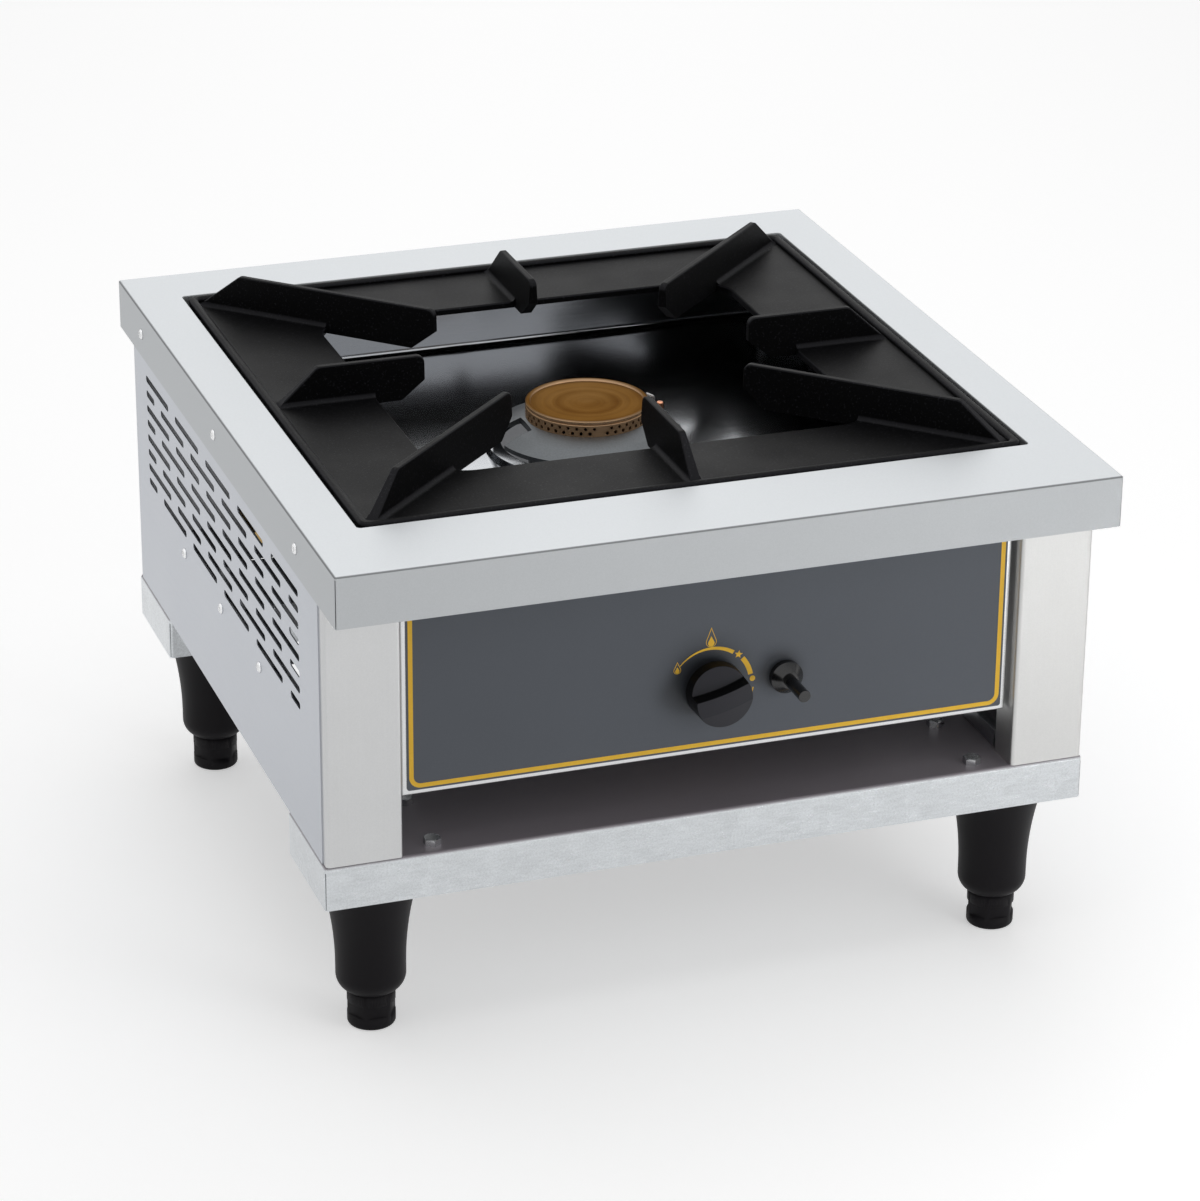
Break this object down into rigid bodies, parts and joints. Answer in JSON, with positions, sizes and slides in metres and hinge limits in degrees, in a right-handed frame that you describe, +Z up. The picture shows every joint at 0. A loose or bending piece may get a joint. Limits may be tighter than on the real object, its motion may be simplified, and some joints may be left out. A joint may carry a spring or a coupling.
{
  "type": "single burner stove",
  "caption": "Square freestanding gas stove with a sheet steel body, cast pan support over a brass ring burner, spill tray, push-and-turn tap, push-button igniter and levelling feet.",
  "frame": {"origin": "on the floor under the middle of the top", "axes": "+Z up, -Y towards the control panel at the front, +X to the right seen from the front"},
  "size_m": [0.6052, 0.645, 0.431],
  "materials": {
    "stainless_top": "satin brushed stainless sheet",
    "stainless_side": "satin stainless sheet",
    "stainless_bright": "bright rolled stainless sheet",
    "galvanised": "galvanised sheet with zinc spangle",
    "zinc_plated": "bright zinc plated fastener",
    "plain_steel": "plain machined or folded steel",
    "faceplate_slate": "dark slate printed sheet, satin",
    "black_plastic": "black moulded plastic, satin",
    "cast_black": "matt black enamelled cast iron",
    "cast_grey": "grey casting",
    "brass": "turned brass",
    "aluminium_pipe": "drawn aluminium tube",
    "ceramic": "glazed white ceramic",
    "lead_sleeve": "red silicone sleeve",
    "copper": "copper capillary"
  },
  "bodies": {
    "stove_body": {"top_frame": "stainless_top", "side_panel_left": "stainless_side", "side_panel_right": "stainless_side", "side_screws": "zinc_plated", "front_post_left": "stainless_side", "front_post_right": "stainless_side", "side_sill_left": "galvanised", "side_sill_right": "galvanised", "rear_panel": "stainless_side", "front_rail": "galvanised", "rear_rail": "galvanised", "foot_front_left": "black_plastic", "foot_front_right": "black_plastic", "foot_rear_left": "black_plastic", "foot_rear_right": "black_plastic", "foot_bolts": "zinc_plated", "control_panel": "stainless_bright", "faceplate": "faceplate_slate", "gas_tap": "brass", "tap_screws": "zinc_plated", "tap_spring": "plain_steel", "igniter_body": "black_plastic", "igniter_spring": "plain_steel", "igniter_nut": "black_plastic", "burner_angle_left": "plain_steel", "burner_angle_right": "plain_steel", "burner_bridge": "plain_steel", "burner_body": "cast_grey", "burner_bolts": "zinc_plated", "injector": "brass", "pilot_bracket": "stainless_bright", "thermocouple": "copper", "electrode_insulator": "ceramic", "spark_electrode": "plain_steel", "ignition_lead": "lead_sleeve", "thermocouple_lead": "copper", "gas_inlet": "brass", "inlet_nut": "brass", "supply_pipe": "aluminium_pipe", "injector_pipe": "aluminium_pipe", "pipe_nuts": "brass", "spill_tray": "stainless_bright"},
    "pan_support": {"pan_support": "cast_black"},
    "burner_head": {"burner_head": "brass"},
    "tap_plunger": {"tap_plunger": "brass"},
    "knob": {"knob": "black_plastic", "tap_stem": "plain_steel"},
    "igniter_button": {"igniter_button": "black_plastic"},
    "air_shutter": {"air_shutter": "plain_steel"},
    "foot_adjuster_front_left": {"foot_adjuster_front_left": "black_plastic"},
    "foot_adjuster_front_right": {"foot_adjuster_front_right": "black_plastic"},
    "foot_adjuster_rear_left": {"foot_adjuster_rear_left": "black_plastic"},
    "foot_adjuster_rear_right": {"foot_adjuster_rear_right": "black_plastic"}
  },
  "joints": [
    {"name": "pan_support_lift", "type": "slide", "parent": "stove_body", "child": "pan_support", "axis": [0, 0, 1], "range_m": [0, 0.15]},
    {"name": "burner_head_lift", "type": "slide", "parent": "stove_body", "child": "burner_head", "axis": [0, 0, 1], "range_m": [0, 0.1]},
    {"name": "knob_push", "type": "slide", "parent": "stove_body", "child": "tap_plunger", "axis": [0, 1, 0], "range_m": [0, 0.0045], "stiffness_N_per_m": 1500, "springref_m": -0.004, "deforming": ["tap_spring"]},
    {"name": "knob_turn", "type": "hinge", "parent": "tap_plunger", "child": "knob", "pos_m": [0, -0.285, 0.2565], "axis": [0, -1, 0], "range_deg": [0, 138]},
    {"name": "igniter_press", "type": "slide", "parent": "stove_body", "child": "igniter_button", "axis": [0, 1, 0], "range_m": [0, 0.006], "stiffness_N_per_m": 2500, "springref_m": -0.002, "deforming": ["igniter_spring"]},
    {"name": "air_shutter_slide", "type": "slide", "parent": "stove_body", "child": "air_shutter", "axis": [0, 1, 0], "range_m": [0, 0.014]},
    {"name": "foot_height_front_left", "type": "slide", "parent": "stove_body", "child": "foot_adjuster_front_left", "axis": [0, 0, -1], "range_m": [0, 0.025]},
    {"name": "foot_height_front_right", "type": "slide", "parent": "stove_body", "child": "foot_adjuster_front_right", "axis": [0, 0, -1], "range_m": [0, 0.025]},
    {"name": "foot_height_rear_left", "type": "slide", "parent": "stove_body", "child": "foot_adjuster_rear_left", "axis": [0, 0, -1], "range_m": [0, 0.025]},
    {"name": "foot_height_rear_right", "type": "slide", "parent": "stove_body", "child": "foot_adjuster_rear_right", "axis": [0, 0, -1], "range_m": [0, 0.025]}
  ]
}
